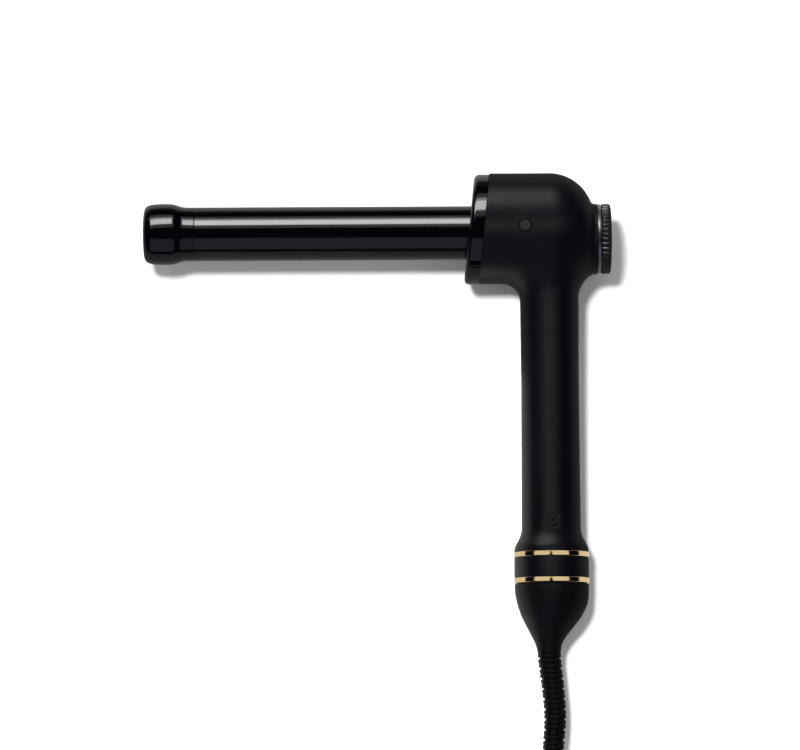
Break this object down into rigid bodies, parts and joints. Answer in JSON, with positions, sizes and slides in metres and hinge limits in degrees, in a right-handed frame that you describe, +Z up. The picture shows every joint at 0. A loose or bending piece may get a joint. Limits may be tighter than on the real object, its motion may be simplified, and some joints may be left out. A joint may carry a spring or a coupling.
{
  "type": "curling wand",
  "caption": "L-shaped curling wand: a heated barrel with a cool tip, a handle at right angles, a temperature dial and a swivelling mains cord.",
  "frame": {"origin": "on the table, under the middle of the wand's own footprint, its cord left out", "axes": "+Z up from the table, +X along the barrel from the cool tip to the dial, +Y along the table from the cord's end to the head"},
  "size_m": [0.2788, 0.4696, 0.0662],
  "materials": {
    "gloss_black": "high gloss",
    "barrel_black": "gloss ceramic coating over a metal tube",
    "soft_black": "soft-touch satin",
    "knurl_black": "satin, fine ribs",
    "gold": "polished plating",
    "satin_silver": "satin plating",
    "rubber_black": "smooth, slightly shiny",
    "cord_black": "smooth cord sheath",
    "steel": "zinc plated",
    "brass": "bright",
    "aluminium": "as extruded",
    "ceramic": "unglazed",
    "circuit_green": "solder mask",
    "component_dark": "moulded",
    "component_yellow": "moulded",
    "nylon_white": "self-lubricating nylon",
    "lens": "clear tinted",
    "wire_red": "silicone sleeve",
    "wire_white": "silicone sleeve",
    "wire_blue": "silicone sleeve"
  },
  "bodies": {
    "housing": {"barrel_tube": "barrel_black", "cool_tip": "gloss_black", "heat_spreader_front": "aluminium", "heat_spreader_rear": "aluminium", "heater_plate": "ceramic", "thermistor": "ceramic", "thermal_fuse": "steel", "barrel_collar": "gloss_black", "barrel_socket": "component_dark", "socket_screw_1": "steel", "socket_screw_2": "steel", "socket_screw_3": "steel", "housing_front": "soft_black", "housing_rear": "soft_black", "housing_screw_upper": "steel", "housing_screw_lower": "steel", "screw_plug_upper": "soft_black", "screw_plug_lower": "soft_black", "control_board": "circuit_green", "board_screw_1": "steel", "board_screw_2": "steel", "triac": "component_dark", "mains_capacitor": "component_yellow", "dial_trim_ring": "satin_silver", "dial_board": "circuit_green", "dial_encoder": "component_dark", "dial_cap": "gloss_black", "indicator_light": "lens", "power_switch": "component_dark", "button_spring": "steel", "gold_ring_upper": "gold", "gold_ring_lower": "gold", "handle_band": "soft_black", "swivel_bearing": "nylon_white", "contact_carrier": "component_dark", "contact_spring_live": "brass", "contact_spring_neutral": "brass", "heater_lead_live": "wire_red", "heater_lead_neutral": "wire_white", "sensor_lead": "wire_blue", "dial_lead": "wire_blue", "supply_lead_live": "wire_red", "supply_lead_neutral": "wire_white", "cord": "cord_black", "cord_tail": "cord_black", "cord_coil": "cord_black", "cord_tie": "rubber_black", "plug_body": "cord_black", "plug_blade_live": "brass", "plug_blade_neutral": "brass"},
    "dial": {"temperature_dial": "knurl_black"},
    "button": {"power_button": "gloss_black"},
    "swivel": {"swivel_boot": "rubber_black", "strain_relief": "rubber_black", "swivel_spindle": "nylon_white", "slip_ring_live": "brass", "slip_ring_neutral": "brass", "swivel_clip": "steel", "cord_inner_end": "cord_black"}
  },
  "joints": [
    {"name": "dial_turn", "type": "hinge", "parent": "housing", "child": "dial", "pos_m": [0.1026, 0.136, 0.03277], "axis": [1, 0, 0], "range_deg": [-135, 135]},
    {"name": "power_press", "type": "slide", "parent": "housing", "child": "button", "axis": [-1, 0, 0], "range_m": [0, 0.0012], "stiffness_N_per_m": 600, "springref_m": -0.001, "deforming": ["button_spring"]},
    {"name": "cord_swivel", "type": "hinge", "parent": "housing", "child": "swivel", "pos_m": [0.1026, -0.06988, 0.02228], "axis": [0, -0.9987, -0.0509], "continuous": true, "deforming": ["cord"]}
  ]
}
